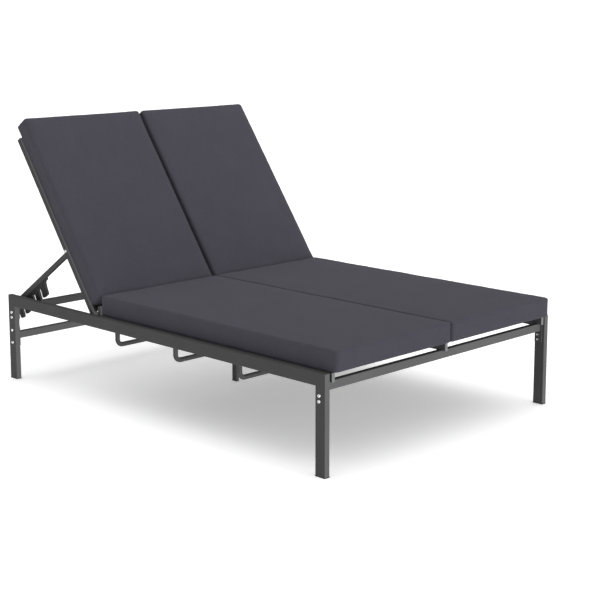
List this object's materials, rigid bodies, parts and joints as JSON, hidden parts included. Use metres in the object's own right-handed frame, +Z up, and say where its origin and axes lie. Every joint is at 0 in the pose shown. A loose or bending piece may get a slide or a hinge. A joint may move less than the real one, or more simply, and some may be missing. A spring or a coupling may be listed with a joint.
{
  "type": "double chaise lounger",
  "caption": "Double garden chaise lounger: low tube-steel frame, side-by-side padded seats and separately reclining notched backrests.",
  "frame": {"origin": "on the floor at the middle of the footprint", "axes": "+X across, to the right seen from the foot end; +Y towards the head end; +Z up"},
  "size_m": [1.1052, 1.6377, 0.9526],
  "materials": {
    "powder_coat": "fine-texture matte powder coat, dark grey",
    "zinc_hardware": "bright zinc",
    "black_plastic": "moulded, matte",
    "grey_plastic": "moulded, satin",
    "comb_plastic": "moulded, matte",
    "rubber_pad": "matte",
    "sling_fabric": "coated mesh",
    "cushion_fabric": "plain woven outdoor fabric, dark grey with a slight violet cast"
  },
  "bodies": {
    "frame": {"side_rail_left": "powder_coat", "side_rail_right": "powder_coat", "foot_leg_left": "powder_coat", "foot_leg_right": "powder_coat", "head_leg_left": "powder_coat", "head_leg_right": "powder_coat", "leg_floor_caps": "black_plastic", "foot_crossbar": "powder_coat", "foot_crossbar_plates": "powder_coat", "head_lower_crossbar": "powder_coat", "head_lower_crossbar_plates": "powder_coat", "head_upper_crossbar": "powder_coat", "latch_bar_plugs": "powder_coat", "head_gusset_plates": "powder_coat", "latch_pins": "powder_coat", "flat_rest_pads": "rubber_pad", "head_centre_post": "powder_coat", "seat_rail_left": "powder_coat", "seat_rail_right": "powder_coat", "seat_rail_centre": "powder_coat", "seat_rail_end_caps": "grey_plastic", "cushion_stops": "powder_coat", "seat_rail_spacers": "powder_coat", "seat_brace_head": "powder_coat", "seat_brace_middle": "powder_coat", "seat_brace_foot": "powder_coat", "centre_leg": "powder_coat", "seat_sling_left": "sling_fabric", "seat_sling_right": "sling_fabric", "seat_cushion_left": "cushion_fabric", "seat_cushion_right": "cushion_fabric", "frame_bolts": "zinc_hardware", "frame_nuts": "powder_coat", "hinge_ears": "powder_coat", "hinge_pins": "zinc_hardware", "hinge_washers": "black_plastic", "hinge_nuts": "zinc_hardware"},
    "back_left": {"back_outer_tube_left": "powder_coat", "back_inner_tube_left": "powder_coat", "back_top_bar_left": "powder_coat", "back_low_bar_left": "powder_coat", "back_tube_plugs_left": "black_plastic", "hinge_bushes_left": "black_plastic", "back_sling_left": "sling_fabric", "back_cushion_left": "cushion_fabric", "strut_pivot_bolt_left": "zinc_hardware"},
    "back_right": {"back_outer_tube_right": "powder_coat", "back_inner_tube_right": "powder_coat", "back_top_bar_right": "powder_coat", "back_low_bar_right": "powder_coat", "back_tube_plugs_right": "black_plastic", "hinge_bushes_right": "black_plastic", "back_sling_right": "sling_fabric", "back_cushion_right": "cushion_fabric", "strut_pivot_bolt_right": "zinc_hardware"},
    "strut_left": {"strut_arm_left": "powder_coat", "strut_comb_left": "comb_plastic"},
    "strut_right": {"strut_arm_right": "powder_coat", "strut_comb_right": "comb_plastic"}
  },
  "joints": [
    {"name": "recline_left", "type": "hinge", "parent": "frame", "child": "back_left", "pos_m": [-0.268, 0.3207, 0.303], "axis": [-1, 0, 0], "range_deg": [0, 54.6]},
    {"name": "strut_swing_left", "type": "hinge", "parent": "back_left", "child": "strut_left", "pos_m": [-0.501, 0.46813, 0.51045], "axis": [1, 0, 0], "range_deg": [0, 84.7]},
    {"name": "recline_right", "type": "hinge", "parent": "frame", "child": "back_right", "pos_m": [0.268, 0.3207, 0.303], "axis": [-1, 0, 0], "range_deg": [0, 54.6]},
    {"name": "strut_swing_right", "type": "hinge", "parent": "back_right", "child": "strut_right", "pos_m": [0.501, 0.46813, 0.51045], "axis": [1, 0, 0], "range_deg": [0, 84.7]}
  ],
  "couplings": [
    {"joint": "strut_swing_left", "follows": "recline_left", "ratio": 1.5495},
    {"joint": "strut_swing_right", "follows": "recline_right", "ratio": 1.5495}
  ]
}
